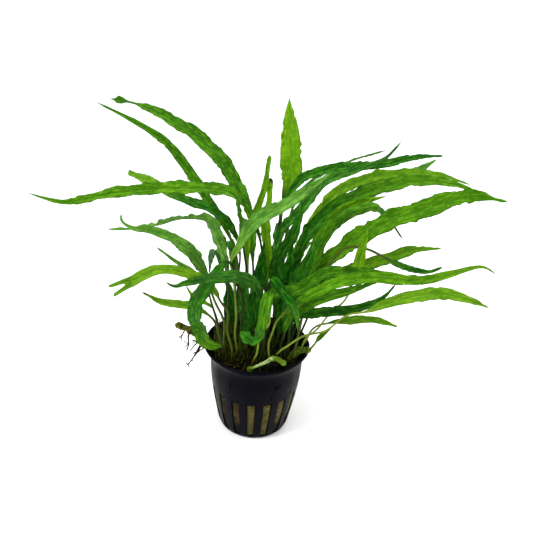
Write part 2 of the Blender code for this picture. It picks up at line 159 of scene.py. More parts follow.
# Rootlets outside the lip, on the left: (radius, route). Every route is written as points with X, Y and Z.
HANGING_ROOTS = [
    (0.56, "-25 -6 49.5, -28 -7 50.8, -31 -9 46, -33 -10 42.5, -35 -10 39.4"),
    (0.48, "-25 -5 50, -28 -6 51.2, -31 -7 52.2, -33 -8 53.4"),
    (0.48, "-25 -7 49.5, -28 -8 50.4, -30 -10 47.5, -31.5 -10 45"),
    (0.44, "-25 -4 50, -29 -5 51, -32 -6 49, -34 -8 46.5"),
    (0.42, "-26 -8 49.5, -29 -9 48, -32 -10 46.6"),
    (0.56, "-35 -6 57, -35.2 -7 54, -34.8 -8 51, -35.4 -9 48.6"),
    (0.44, "-37 -6 58, -38 -7 56, -38.5 -8 54.6"),
]
ROOT_SIDES = 6
ROOT_RINGS = 26
TWIG_RINGS = 12
HAIR_SIDES = 5
HAIR_RINGS = 14
# The lowest that a root on top of the wool lies, and how far from the pot's middle it may reach.
HAIR_FLOOR = 41.0
HAIR_REACH = 22.4

# Rhizomes, as in the part: (name, radius, route).
RHIZOMES = [
    ("front", 1.7, "-16 -10 42.2, -6 -12 42.4, 6 -12 42.4, 14 -10 43, 22 -9 51.6, 28 -9 52"),
    ("middle", 1.7, "-42 -6 61, -34 -6 58, -27 -5 53.4, -20 -1 45, -8 1 42.3, 6 1 42.3, 18 2 42.3"),
    ("back", 1.7, "-15 11 42.3, -5 12 42.3, 6 12 42.3, 15 10 42.3"),
    ("tip", 0.9, "-3 -19 44.5, -1 -21.4 48, 4 -20.7 50.6, 9 -19.4 53, 12 -20.5 52.6, 15 -22 51.4"),
]

# Fronds, as in the part: (name, blade width, bare share, face tilt, twist, route from rhizome to tip).
# Face tilt is the angle of the blade's upper face from straight up towards the viewer, in degrees.
FRONDS = [
    # Left side, from the highest down.
    ("left_1", 7.4, 0.26, 50, 20,
     "-1 5 44.4, 0 8 78, 0 8 101, -7 14 115, -18 24 132, -33 34 145, -58 44 156, -71 48 159, -84 50 160"),
    ("left_2", 5.2, 0.3, 50, 15,
     "-10 3 44.4, -11 3 72, -11 2 93, -18 6 109, -28 9 124, -37 12 136, -48 14 149, -63 15 158, "
     "-81 16 166"),
    ("left_3", 6.2, 0.24, 45, 25,
     "-7 3 44.4, -7 0 76, -9 0 104, -12 -2 122, -14 -3 131, -25 -7 135, -50 -14 136, -70 -22 135, "
     "-85 -28 133, -100 -32 138"),
    ("left_4", 4.8, 0.35, 40, 60,
     "-13 2 44.4, -12 -2 72, -10 -4 97, -15 -2 114, -25 0 122, -41 6 125, -54 12 129, -68 18 132"),
    ("left_5", 7.2, 0.3, -45, 170,
     "-13 -8 44.4, -15 -8 72, -17 -8 99, -21 -9 111, -25 -10 120, -37 -12 122, -48 -14 119, -60 -16 117, "
     "-71 -18 117"),
    ("left_6", 6.4, 0.35, 50, -20,
     "-15 -8 44.4, -18 -12 69, -24 -16 90, -30 -20 106, -40 -23 117, -50 -25 121, -57 -27 122.5, "
     "-61 -28 126, -61 -28 130"),
    ("left_7", 2.6, 0.4, 50, 0, "-16 -12 44.2, -22 -19 81, -27 -23 97, -38 -28 108, -46 -31 116"),
    ("left_8", 4.4, 0.35, 55, 10,
     "-12 -13 44.2, -16 -18 78, -24 -30 99, -36 -35 107, -46 -38 108, -53 -40 104.6, -57.5 -42 102.6"),
    ("left_9", 6, 0.25, 60, 0,
     "-1 -9 44.4, 0 -15 68, 1 -20 86, -5 -29 101, -16 -38 107, -29 -46 108, -35 -49 107, -39 -51 110"),
    ("left_10", 6.6, 0.4, 60, 160,
     "-7 -14 44.4, -8 -20 75, -9 -22 93, -15 -28 109, -23 -35 100, -27 -34 93, -29 -31 81, -28 -27 76, "
     "-25 -20 61, -17 -18 57"),
    ("left_11", 4.3, 0.3, 45, 0, "-18 -5 45.6, -23 -7 66, -33 -8 73, -48 -10 76, -57 -12 82"),
    ("left_12", 2.4, 0.4, 45, 0, "-17 5 44.2, -24 8 63, -35 14 66, -40 20 69"),
    # The crown, from left to right.
    ("crown_1", 6.4, 0.42, 60, 0,
     "-10 -9 44.6, -11 -14 61, -11 -16 85, -14 -18 104, -10 -18 113, -4 -16 124, 6 -14 130, 16 -12 137, "
     "30 -10 148"),
    ("crown_2", 4.8, 0.25, 55, 15,
     "4 4 44.4, 5 -2 78, 6 -2 100, 9 0 114, 17 1 124, 27 3 138, 43 5 145, 54 6 150, 61 6 159"),
    ("crown_3", 4.6, 0.3, 55, 10,
     "8 9 44.2, 8 9 92, 8 12 115, 10 13 124, 17 14 135, 30 20 139, 57 32 139, 75 38 142, 91 44 142"),
    ("crown_4", 2.2, 0.35, 15, 0, "8 15 44.2, 11 17 100, 18 22 126, 38 32 138, 60 38 145"),
    ("crown_5", 10.8, 0.55, 78, 0,
     "3 14 44.4, 4 14 89, 7 20 107, 12 28 131, 11 35 147, 10 40 157, 9 44 167"),
    ("crown_6", 3.7, 0.28, 70, 0, "-7 14 44.4, -7 14 80, -8 22 99, -4 27 113, -1 30 123, 1 34 140"),
    ("crown_7", 4.6, 0.28, 75, 0, "2 4 44.4, 3 4 80, 3 3 99, 1 5 113, 2 7 128, 2 8 137"),
    ("crown_8", 6.4, 0.22, 60, 20, "8 -8 44.8, 8 -9 75, 8 -8 102, 14 -8 115, 17 -7 126, 17 -6 133"),
    # Right side, from the highest down.
    ("right_1", 6.6, 0.22, 50, 0, "13 8 44.6, 12 13 85, 25 24 103, 47 34 119, 72 46 127, 90 53 137"),
    ("right_2", 5.6, 0.2, 55, -10,
     "11 4 44.4, 10 2 87, 18 8 103, 25 12 115, 34 15 128, 49 20 135, 64 22 138, 85 28 137, 105 32 131"),
    ("right_3", 7, 0.16, 50, 0,
     "14 4 44.4, 14 0 76, 17 -2 98, 22 1 113, 34 5 125, 47 8 132, 68 9 139, 86 10 139, 104 11 134.5"),
    ("right_4", 5.2, 0.2, 50, 0, "17 0 44.4, 20 1 81, 27 0 103, 30 -1 117, 38 0 127, 57 1 134"),
    ("right_5", 8.6, 0.16, 50, 0,
     "16 -7 47.6, 19 -7 66, 20 -6 79, 29 -6 98, 38 -5 108, 56 -8 124, 73 -12 134, 90 -15 142, "
     "106 -17 141"),
    ("right_6", 8, 0.14, 60, 0,
     "15 -12 46.4, 19 -12 84, 23 -11 101, 28 -7 115, 36 -7 125, 51 -4 130, 59 4 122, 68 5 111"),
    ("right_7", 5.2, 0.18, 45, 0,
     "20 0 44.4, 27 0 72, 33 -1 86, 41 -3 95, 60 -4 104, 71 -4 109, 85 -4 111"),
    ("right_8", 4.4, 0.18, 45, 0, "20 4 44, 24 5 68, 33 9 82, 54 14 89, 79 22 95"),
    ("right_9", 3.2, 0.68, 50, 0,
     "18 -12 49, 24 -14 84, 29 -14 98, 38 -14 113, 49 -14 113, 62 -13 106, 78 -12 102, 85 -12 105"),
    ("right_10", 5, 0.55, 70, 0, "22 -11 53.6, 28 -14 68, 38 -18 84, 43 -21 100, 44 -22 110, 46 -23 127"),
    ("right_11", 5.6, 0.2, 55, 0,
     "4 -15 44.2, 5 -21 76, 6 -24 92, 18 -27 97, 29 -29 107, 44 -31 110, 61 -32 110"),
    ("right_12", 5.4, 0.16, 55, 0, "12 -13 45, 16 -22 80, 31 -27 94, 41 -29 99, 54 -29 105"),
    ("right_13", 5.2, 0.16, 55, 0,
     "6 -15 44.6, 8 -24 75, 17 -32 92, 26 -35 101, 37 -37 108, 51 -38 111, 67 -37 110, 80 -36 113, "
     "95 -34 117, 103 -33 113"),
    ("right_14", 4.8, 0.16, 55, 0, "14 -13 46.6, 18 -19 77, 32 -24 84, 45 -26 88, 56 -26 94, 62 -25 102"),
    ("right_15", 5.4, 0.42, 55, 0,
     "10 -19 55, 14 -22 62, 27 -28 75, 38 -33 85, 50 -36 94, 62 -38 101, 77 -40 106, 90 -40 104, "
     "100 -39 100"),
    ("right_16", 4, 0.22, 50, 0, "24 -6 53.8, 31 -5 64, 44 -6 69, 58 -7 71, 70 -7 68"),
    ("right_17", 2.6, 0.2, 50, 0, "27 -12 54.6, 32 -13 64, 36 -14 69"),
    ("right_18", 4.4, 0.55, 65, 0, "2 -15 44.4, 4 -19 80, 5 -29 103, 12 -38 99, 17 -41 92, 18 -41 84"),
    # Short fronds that fill the middle of the plant.
    ("heart_1", 6.8, 0.16, 65, 0, "-3 -9 44.6, -2 -9 75, 0 -10 99, 1 -11 113"),
    ("heart_2", 8.4, 0.16, 60, 0, "11 -8 44.8, 15 -15 78, 18 -18 97, 22 -18 110, 25 -18 118"),
    ("heart_3", 8.6, 0.14, 65, 0, "7 -9 44.8, 12 -11 71, 13 -12 92, 14 -12.5 114"),
    ("heart_4", 7, 0.14, 65, 0, "-6 -8 44.6, -6 -8 70, -8 -9 85, -6 -10 97"),
    ("heart_5", 8.6, 0.1, 65, 0, "-11 3 44.4, -13 5 58, -15 8 70, -17 9 80"),
    ("heart_6", 8.4, 0.1, 65, 0, "-2 -1 44.6, -3 -2 60, -3 -3 74, -2 -4 86"),
    ("front", 4.7, 0.38, 40, 0,
     "-2 -15 44.4, 1 -22 60, 4.4 -29 80, 4.6 -33 97, 3.4 -39.7 95.7, 2 -43 86, 0.6 -40.5 78, "
     "-3 -37.4 75.2, -7.5 -34 77"),
    # Fronds that arch over the far side.
    ("back_1", 5.4, 0.3, -30, 0, "-12 14 44.4, -14 24 74, -18 36 88, -22 46 83, -24 53 70"),
    ("back_2", 6, 0.3, -35, 0, "-4 15 44.4, -5 26 82, -8 44 98, -12 60 90, -15 71 74"),
    ("back_3", 5.6, 0.3, -35, 0, "6 15 44.4, 7 26 82, 9 44 96, 12 60 90, 16 72 76"),
    ("back_4", 5.2, 0.3, -30, 0, "13 13 44.4, 17 24 76, 24 36 90, 31 48 85, 36 57 70"),
    ("back_5", 4.8, 0.3, -30, 0, "0 15 44.2, 0 26 66, 1 40 76, 3 54 70, 5 62 56"),
    ("back_6", 4.6, 0.3, -30, 0, "-16 11 44.4, -20 26 72, -26 42 80, -30 56 70, -32 64 54"),
    ("back_7", 4.6, 0.3, -30, 0, "17 9 44.4, 22 26 72, 30 40 80, 37 54 70, 40 62 54"),
]

# The share of a blade that narrows to its tip. A small share makes a blunt tip.
USUAL_TAPER = 0.5
TAPERS = {
    "left_2": 0.65, "left_4": 0.15, "left_6": 0.75, "left_8": 0.2, "left_10": 0.12, "crown_3": 0.3,
    "crown_6": 0.35, "crown_7": 0.45, "right_1": 0.22, "right_3": 0.4, "right_4": 0.35, "right_5": 0.3,
    "right_6": 0.8, "right_7": 0.3, "right_15": 0.4, "right_16": 0.4, "front": 0.14,
}
# The frond whose tip parts in two: where it starts to, as a share of the frond, then the depth of the notch
# and how far each point stands from the middle, as a share of the blade's width.
FORKED = "left_8"
FORK_FROM = 0.84
FORK_DEPTH = 6.48
FORK_SPREAD = 0.6325

# The shade of each frond that isn't mid green.
SHADES = {
    "bright": "crown_5 crown_6 crown_7 right_4 right_10",
    "light": "left_8 left_11 left_12 right_2 right_7 right_15 right_16 right_17",
    "fresh": "right_5 right_8 right_13",
    "pale": "left_5 left_6 left_7 crown_1 right_1",
    "blue": "left_9 crown_2",
    "dark": "left_4 left_10 crown_3 crown_8 right_3 right_9 right_14 heart_2 heart_4 back_1 back_3 back_6",
    "deep": "right_18 heart_1 heart_3 heart_5 heart_6",
}
USUAL_SHADE = "mid"
# Upper and lower ends of each shade's range, as linear colours, and how much it shines.
SHADE_COLOURS = {
    "bright": ((0.158, 0.345, 0.003), (0.072, 0.220, 0.002), 0.05),
    "light": ((0.166, 0.350, 0.010), (0.066, 0.200, 0.004), 0.05),
    "fresh": ((0.108, 0.292, 0.005), (0.030, 0.132, 0.001), 0.04),
    "pale": ((0.140, 0.340, 0.036), (0.044, 0.172, 0.010), 0.12),
    "mid": ((0.074, 0.250, 0.003), (0.018, 0.094, 0.001), 0.05),
    "blue": ((0.046, 0.220, 0.010), (0.007, 0.070, 0.002), 0.10),
    "dark": ((0.031, 0.192, 0.003), (0.005, 0.062, 0.001), 0.06),
    "deep": ((0.014, 0.150, 0.003), (0.002, 0.040, 0.001), 0.03),
}
# Fronds that turn to another shade towards the tip: (shade, where that starts and ends, in cm from the root).
TURNING = {
    "left_1": ("mid", 6.0, 8.0),
    "left_3": ("fresh", 8.0, 12.0),
    "left_4": ("light", 10.0, 11.4),
    "left_10": ("fresh", 10.6, 12.2),
    "right_3": ("fresh", 8.5, 11.5),
    "right_13": ("light", 10.0, 13.0),
    "right_18": ("pale", 7.6, 9.0),
    "front": ("dark", 7.6, 8.4),
}
# Stipe colours: the light colour, the share of it in its darker random patches, and near-black painted shade
# for stipes in the shade of the crown.
STIPE_LIGHT = (0.215, 0.310, 0.030)
STIPE_SHADED = 0.55
STIPE_PAINTED_SHADE = (0.006, 0.014, 0.001)
# How light each frond's bare stipe is, from 0 for painted shade to 1 for its own light colour. The others are
# painted in shade.
SHADE_PAINTED_STIPE = 0.05
LIGHT_STIPES = {
    "left_2": 0.3, "left_6": 0.5, "left_7": 0.1, "left_8": 0.4, "left_9": 0.25, "left_11": 0.35,
    "left_12": 0.2, "crown_1": 0.85, "crown_6": 0.25, "right_9": 0.3, "right_10": 1.0, "right_13": 0.7,
    "right_15": 1.0, "right_16": 1.0, "right_17": 0.9, "front": 0.9,
}
TIP_BROWN = (0.036, 0.020, 0.006)
# Share of the frond at which its tip turns brown. Other tips stay green.
BROWN_FROM = {"left_2": 0.985, "left_11": 0.945, "crown_7": 0.965, "right_9": 0.985}

# How far the margins fold up, in degrees of slope.
USUAL_FOLD = 18.0
FOLDS = {"left_10": 22.0, "crown_5": 8.0, "right_6": -30.0, "right_18": -38.0}
# How much each frond ruffles. The others ruffle by 1.
RUFFLES = {"left_1": 1.2, "left_5": 1.3, "left_7": 1.5, "crown_5": 0.7, "right_5": 1.2}
# A leafy end on a neck: the neck's place and how far it narrows, then the end's place and growth.
# Places are shares of the frond.
NECKED = {
    "left_1": (0.925, 0.8, 0.965, 0.20),
    "front": (0.880, 0.35, 0.955, 0.14),
    "right_5": (0.962, 0.4, 0.985, 0.04),
    "right_6": (0.955, 0.35, 0.984, 0.06),
}
# How long the neck and the leafy end are, as shares of the frond.
NECK_LENGTH = 0.022
LEAFY_END_LENGTH = 0.014
# A blunt tip: the share of its width that it keeps, and the share of the frond over which it rounds off.
CUT_TIPS = {
    "left_4": (0.55, 0.004), "left_10": (0.30, 0.016), "crown_3": (0.34, 0.016), "crown_6": (0.62, 0.016),
    "crown_7": (0.58, 0.016), "right_1": (0.25, 0.016), "right_7": (0.25, 0.016), "right_9": (0.50, 0.018),
    "right_15": (0.20, 0.012), "right_16": (0.30, 0.016), "front": (0.95, 0.030),
}
# A blade that turns about itself near its end: the shares where that starts and ends, and the angle.
END_TURNS = {"front": (0.85, 0.95, -72.0)}

# Leaf markings: features of the noise in each metre, or across and along in each centimetre of the blade.
BROAD_SCALE = 90.0
BLOTCH_SCALE = 380.0
FLECK_SCALE = 900.0
GRAIN_SCALES = (11.0, 1.4, 1.0)
VEIN_SCALES = (5.2, 3.0, 1.0)
GRIT_SCALES = (9.0, 2.2, 1.0)
# How much each marking, and the painted shade near the root and along the margins, changes the leaf's colour
# where it is strongest.
BLOTCH_SHARE = 0.45
STREAK_SHARE = 0.65
VEIN_SHARE = 0.34
RIB_SHARE = 0.75
ROOT_SHADE_SHARE = 0.42
DARK_GRIT_SHARE = 0.65
LIGHT_GRIT_SHARE = 0.50
MARGIN_SHADE_SHARE = 0.50
FLECK_SHARE = 0.35
# Painted shade near a frond's root, where the heart of the plant is dark.
ROOT_SHADE_COLOUR = (0.004, 0.022, 0.001)
LIGHT_GRIT_COLOUR = (0.52, 0.66, 0.08)

# Pot plastic, as linear colours.
POT_DARK = (0.0012, 0.0010, 0.0026)
POT_DUSTY = (0.0032, 0.0030, 0.0058)
POT_SCUFFED = (0.010, 0.010, 0.015)
POT_SHINE = 0.034
POT_SHINE_TINT = (0.80, 0.78, 1.0, 1.0)

# Rock wool, as linear colours.
WOOL_DARK = (0.032, 0.025, 0.006)
WOOL_KHAKI = (0.104, 0.088, 0.021)
WOOL_FIBRE = (0.165, 0.142, 0.045)
WOOL_SPECK = (0.024, 0.018, 0.007)
WOOL_ROTTEN = (0.016, 0.008, 0.002)
WOOL_BLACK = (0.004, 0.003, 0.002)
WOOL_TOP_SHADE = (0.018, 0.015, 0.007)
# Places in the wool, in metres, each as where a change starts and ends: the rotten stretch along X, the part
# of it where rot is worst, the black foot's height, its distance from the middle, and the painted shade on
# top.
ROT_STARTS = (-0.0182, -0.0172)
ROT_ENDS = (-0.0056, -0.0042)
WORST_ROT_ENDS = (-0.0135, -0.0115)
FOOT_FADES = (0.007, 0.014)
FOOT_MIDDLE = 0.0025
FOOT_STARTS = (0.0065, 0.0085)
TOP_SHADE_STARTS = (0.027, 0.032)

# Stems, as pairs of linear colours from low to high, and the dark colour of their scales.
MOSS_GREEN = ((0.058, 0.122, 0.004), (0.185, 0.300, 0.012))
OLIVE_STEM = ((0.026, 0.030, 0.002), (0.128, 0.146, 0.008))
BROWN_END = ((0.030, 0.018, 0.004), (0.090, 0.060, 0.012))
OLIVE_SCALES = (0.010, 0.006, 0.002)
YOUNG_STEM = ((0.070, 0.170, 0.006), (0.200, 0.330, 0.014))
PALE_ROD = ((0.320, 0.480, 0.120), (0.640, 0.760, 0.360))
YOUNG_SCALES = (0.070, 0.150, 0.008)
# Painted shade for stems inside the pot.
STEM_POT_SHADE = (0.005, 0.005, 0.002)
# Heights in metres between which a stem comes out of its painted shade inside the pot.
STEM_SHADE_HEIGHTS = (0.0445, 0.0480)
BROWN_ROOT = ((0.007, 0.002, 0.001), (0.052, 0.014, 0.006))
OLIVE_ROOT = ((0.005, 0.006, 0.001), (0.112, 0.128, 0.014))


# Curves and meshes.


def unit(vector):
    return vector / np.linalg.norm(vector)


def read_route(text):
    """The points of a route."""
    return np.array([point.split() for point in text.split(",")], float)


def smooth_route(points, count):
    """Evenly spaced points on a centripetal Catmull-Rom curve through the given points."""
    given = np.array(points, float)
    given = np.vstack([2 * given[0] - given[1], given, 2 * given[-1] - given[-2]])
    gaps = np.sqrt(np.linalg.norm(np.diff(given, axis=0), axis=1))
    knots = np.concatenate([[0.0], np.cumsum(gaps)])
    dense = []
    for i in range(1, len(given) - 2):
        a, b, c, d = given[i - 1 : i + 3]
        ta, tb, tc, td = knots[i - 1 : i + 3]
        t = np.linspace(tb, tc, STEPS_PER_SPAN, endpoint=False)[:, None]
        ab = ((tb - t) * a + (t - ta) * b) / (tb - ta)
        bc = ((tc - t) * b + (t - tb) * c) / (tc - tb)
        cd = ((td - t) * c + (t - tc) * d) / (td - tc)
        abc = ((tc - t) * ab + (t - ta) * bc) / (tc - ta)
        bcd = ((td - t) * bc + (t - tb) * cd) / (td - tb)
        dense.append(((tc - t) * abc + (t - tb) * bcd) / (tc - tb))
    dense = np.vstack(dense + [given[-2][None]])
    along = np.concatenate([[0.0], np.cumsum(np.linalg.norm(np.diff(dense, axis=0), axis=1))])
    wanted = np.linspace(0.0, along[-1], count)
    return np.stack([np.interp(wanted, along, dense[:, axis]) for axis in range(3)], axis=1)


def length_of(centres):
    return float(np.linalg.norm(np.diff(centres, axis=0), axis=1).sum())


def turned_frames(centres, first_normal, at):
    """Tangents and normals along a curve, carried without twist from the point at index at."""
    tangents = np.gradient(centres, axis=0)
    tangents /= np.linalg.norm(tangents, axis=1)[:, None]
    normals = np.zeros_like(centres)
    normals[at] = unit(first_normal - (first_normal @ tangents[at]) * tangents[at])
    for i in range(at + 1, len(centres)):
        normals[i] = unit(normals[i - 1] - (normals[i - 1] @ tangents[i]) * tangents[i])
    for i in range(at - 1, -1, -1):
        normals[i] = unit(normals[i + 1] - (normals[i + 1] @ tangents[i]) * tangents[i])
    return tangents, normals


def ease(value):
    """A smooth step from 0 to 1 over values from 0 to 1."""
    value = np.clip(value, 0.0, 1.0)
    return value * value * (3 - 2 * value)


def bump(value):
    """A smooth hump, 1 high at 0 and nearly gone at 2."""
    return np.exp(-(value**2))


def waves(rng, along, wavelength):
    """A smooth random line of about unit size, made of four waves near one wavelength."""
    total = np.zeros_like(along)
    for _ in range(4):
        pitch = wavelength * rng.uniform(0.65, 1.5)
        total += np.sin(2 * math.pi * along / pitch + rng.uniform(0, 2 * math.pi))
    return total / 2


def summed_waves(rng, along, sizes):
    """The sum of random lines, given as (height, wavelength)."""
    return sum(height * waves(rng, along, wavelength) for height, wavelength in sizes)


def ring_faces(rings, around):
    """Faces of a closed skin over rings of points, with a cap at each end."""
    i, j = np.meshgrid(np.arange(rings - 1), np.arange(around), indexing="ij")
    k = (j + 1) % around
    quads = np.stack([i * around + j, i * around + k, (i + 1) * around + k, (i + 1) * around + j], axis=-1)
    faces = [tuple(quad) for quad in quads.reshape(-1, 4).tolist()]
    faces.append(tuple(range(around))[::-1])
    faces.append(tuple(range((rings - 1) * around, rings * around)))
    return faces


def blade_end(first, across):
    """Faces that close a blade's last ring between its upper and lower points."""
    upper = [first + j for j in range(across)]
    lower = [first + (2 * across - 2 - j) % (2 * across - 2) for j in range(across)]
    faces = [(upper[0], upper[1], lower[1]), (upper[-2], upper[-1], lower[-2])]
    return faces + [(upper[j], upper[j + 1], lower[j + 1], lower[j]) for j in range(1, across - 2)]


def add_mesh(name, points, faces, material):
    """A smooth-shaded object from points in millimetres."""
    mesh = bpy.data.meshes.new(name)
    mesh.from_pydata((np.asarray(points) * MM).tolist(), [], faces)
    mesh.materials.append(material)
    mesh.shade_smooth()
    piece = bpy.data.objects.new(name, mesh)
    bpy.context.scene.collection.objects.link(piece)
    return piece


def join_tubes(name, tubes, sides, material):
    """One mesh from many closed tubes, each given as its rings."""
    points = []
    faces = []
    for rings in tubes:
        first = len(points)
        points.extend(rings.reshape(-1, 3).tolist())
        faces.extend(tuple(first + corner for corner in face) for face in ring_faces(len(rings), sides))
    return add_mesh(name, points, faces, material)


def settle(piece, slot, *nodes):
    """Rides the piece on the plant and lets it stand for its CAD nodes. Its slot is not used."""
    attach(piece, "root")
    if nodes:
        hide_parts(*nodes)


# Materials.


class Value:
    """What a shader node gives. Arithmetic on it adds maths nodes."""

    def __init__(self, socket):
        self.socket = socket

    def maths(self, operation, other=0.0):
        return add_node(self.socket.id_data, "Math", {0: self, 1: other}, operation=operation)

    def __add__(self, other):
        return self.maths("ADD", other)

    def __sub__(self, other):
        return self.maths("SUBTRACT", other)

    def __mul__(self, other):
        return self.maths("MULTIPLY", other)

    def ramp(self, low, high, to_low=0.0, to_high=1.0):
        """Goes from to_low to to_high as this value goes from low to high."""
        inputs = {"Value": self, "From Min": low, "From Max": high, "To Min": to_low, "To Max": to_high}
        return add_node(self.socket.id_data, "MapRange", inputs)

    def mix(self, a, b):
        """The colour a where this value is 0, and b where it is 1."""
        return mix(self.socket.id_data, self, a, b)

    def parts(self, kind="SeparateXYZ"):
        """The three numbers in a place or a colour."""
        return [add_node(self.socket.id_data, kind, {0: self}, output) for output in range(3)]


def add_node(tree, kind, inputs=None, output=0, **settings):
    """Adds a node, sets its properties, links or sets its inputs, and returns one of its outputs."""
    made = tree.nodes.new("ShaderNode" + kind)
    for name, value in settings.items():
        setattr(made, name, value)
    for socket, value in (inputs or {}).items():
        if isinstance(value, Value):
            tree.links.new(value.socket, made.inputs[socket])
        else:
            made.inputs[socket].default_value = value
    return Value(made.outputs[output])


def mix(tree, share, a, b):
    """The colour a where the share is 0, and b where it is 1."""
    a, b = ((*colour, 1.0) if isinstance(colour, tuple) else colour for colour in (a, b))
    return add_node(tree, "Mix", {0: share, 6: a, 7: b}, 2, data_type="RGBA")


class Paint:
    """A material with a Principled shader."""

    def __init__(self, name, roughness, specular):
        self.material = bpy.data.materials.new(name)
        self.material.use_nodes = True
        self.tree = self.material.node_tree
        self.inputs = self.tree.nodes["Principled BSDF"].inputs
        self.inputs["Roughness"].default_value = roughness
        self.inputs["Specular IOR Level"].default_value = specular

    def object_place(self):
        """Where a point is in the object, in metres."""
        return add_node(self.tree, "TexCoord", output="Object")

    def noise_at(self, place, scale, detail, roughness=0.5, stretch=None, output="Fac"):
        if stretch:
            place = add_node(self.tree, "Mapping", {"Vector": place, "Scale": stretch})
        inputs = {"Vector": place, "Scale": scale, "Detail": detail, "Roughness": roughness}
        return add_node(self.tree, "TexNoise", inputs, output)

    def noise(self, scale, detail=3.0, roughness=0.55, stretch=None):
        """Noise in the object's own place, with features about 1/scale of a metre."""
        return self.noise_at(self.object_place(), scale, detail, roughness, stretch)

    def link(self, value, socket):
        self.tree.links.new(value.socket, self.inputs[socket])

    def finish(self, colour, height, distance_mm, strength):
        """Gives the shader its colour and its bumps, and returns the material."""
        inputs = {"Height": height, "Distance": distance_mm * MM, "Strength": strength}
        self.link(colour, "Base Color")
        self.link(add_node(self.tree, "Bump", inputs), "Normal")
        return self.material


def leaf_veins(paint, place):
    """The blade's net of cross veins, from 0 between them to 1 on them."""
    place = add_node(paint.tree, "Mapping", {"Vector": place, "Scale": VEIN_SCALES})
    bent = mix(paint.tree, 0.16, place, paint.noise_at(place, 1.7, 2.0, output="Color"))
    cells = {"Vector": bent, "Scale": 1.0}
    edge = add_node(paint.tree, "TexVoronoi", cells, "Distance", feature="DISTANCE_TO_EDGE")
    return edge.ramp(0.0, 0.11, 1.0, 0.0)


def leaf_material(name, shade, turning=None):
    """Leaf in one shade of green, with painted shade near the root, along the margins and on most stipes. The
    mesh says where its blade, margin, brown tip and light stipe are.
    """
    upper, lower, shine = SHADE_COLOURS[shade]
    paint = Paint(name, 0.45, shine)
    blade, margin, brown = add_node(paint.tree, "VertexColor", layer_name="leaf").parts("SeparateColor")
    light_stipe = add_node(paint.tree, "VertexColor", output="Alpha", layer_name="leaf")
    place = add_node(paint.tree, "UVMap", uv_map="leaf_cm")
    across, along, _ = place.parts()
    blotch = paint.noise(BLOTCH_SCALE, 4.0, 0.65).ramp(0.36, 0.64)
    grain = paint.noise_at(place, 1.0, 3.0, stretch=GRAIN_SCALES)
    grit = paint.noise_at(place, 1.0, 4.0, 0.6, GRIT_SCALES)
    vein = leaf_veins(paint, place)
    rib = across.maths("ABSOLUTE").ramp(0.014, 0.046, 1.0, 0.0)

    if turning:
        new_shade, start, end = turning
        turned = along.ramp(start, end)
        upper = turned.mix(upper, SHADE_COLOURS[new_shade][0])
        lower = turned.mix(lower, SHADE_COLOURS[new_shade][1])
    colour = paint.noise(BROAD_SCALE, 2.0).ramp(0.40, 0.60).mix(lower, upper)
    colour = (blotch * BLOTCH_SHARE).mix(colour, upper)
    colour = (grain.ramp(0.42, 0.62) * STREAK_SHARE).mix(colour, lower)
    colour = (vein * VEIN_SHARE).mix(colour, lower)
    colour = (rib * RIB_SHARE).mix(colour, lower)
    # Painted shade: the blade darkens towards its root, as the shade in the heart of the plant.
    colour = along.ramp(1.5, 6.5, ROOT_SHADE_SHARE, 0.0).mix(colour, ROOT_SHADE_COLOUR)
    colour = grit.ramp(0.48, 0.36, 0.0, DARK_GRIT_SHARE).mix(colour, lower)
    light_grit = mix(paint.tree, 0.10, upper, LIGHT_GRIT_COLOUR)
    colour = grit.ramp(0.52, 0.64, 0.0, LIGHT_GRIT_SHARE).mix(colour, light_grit)
    # Painted shade along the margins, where they curl.
    colour = margin.ramp(0.78, 0.98, 0.0, MARGIN_SHADE_SHARE).mix(colour, lower)

    stem = paint.noise(160.0).ramp(0.3, 0.7).mix(tuple(c * STIPE_SHADED for c in STIPE_LIGHT), STIPE_LIGHT)
    # Painted shade: stipes that aren't light get the near-black shade colour.
    stem = light_stipe.mix(STIPE_PAINTED_SHADE, stem)
    colour = blade.mix(stem, colour)
    colour = (paint.noise(FLECK_SCALE).ramp(0.66, 0.74) * FLECK_SHARE).mix(colour, TIP_BROWN)
    colour = brown.mix(colour, TIP_BROWN)
    paint.link(blotch.ramp(0.0, 1.0, 0.38, 0.58), "Roughness")
    return paint.finish(colour, vein * -0.5 + grain + blotch * 0.8, 0.26, 0.8)


def pot_material():
    """Blue-black plastic with a soft dust, faint upright scuffs and dark nicks."""
    paint = Paint("pot_black_plastic", 0.34, POT_SHINE)
    dust = paint.noise(160.0, 5.0, 0.62).ramp(0.40, 0.75)
    scuff = paint.noise(520.0, 5.0, 0.7, (1.0, 1.0, 0.18)).ramp(0.62, 0.78)
    colour = (dust * 0.5).mix(POT_DARK, POT_DUSTY)
    colour = (scuff * 0.5).mix(colour, POT_SCUFFED)
    paint.link(dust.ramp(0.0, 1.0, 0.30, 0.46), "Roughness")
    paint.inputs["Specular Tint"].default_value = POT_SHINE_TINT

    # A nick doesn't shine. Its place is a bearing about Z and a height.
    x, y, z = paint.object_place().parts()
    bearing = y.maths("ARCTAN2", x)
    shine = POT_SHINE
    for azimuth, level, half_width, half_height in POT_NICKS:
        aside = (bearing - math.radians(azimuth)) * (WALL_RADIUS / half_width)
        above = (z - level * MM) * (1 / (half_height * MM))
        shine = (aside * aside + above * above).ramp(0.5, 1.3) * shine
    paint.link(shine, "Specular IOR Level")
    return paint.finish(colour, paint.noise(1500.0), 0.04, 0.5)


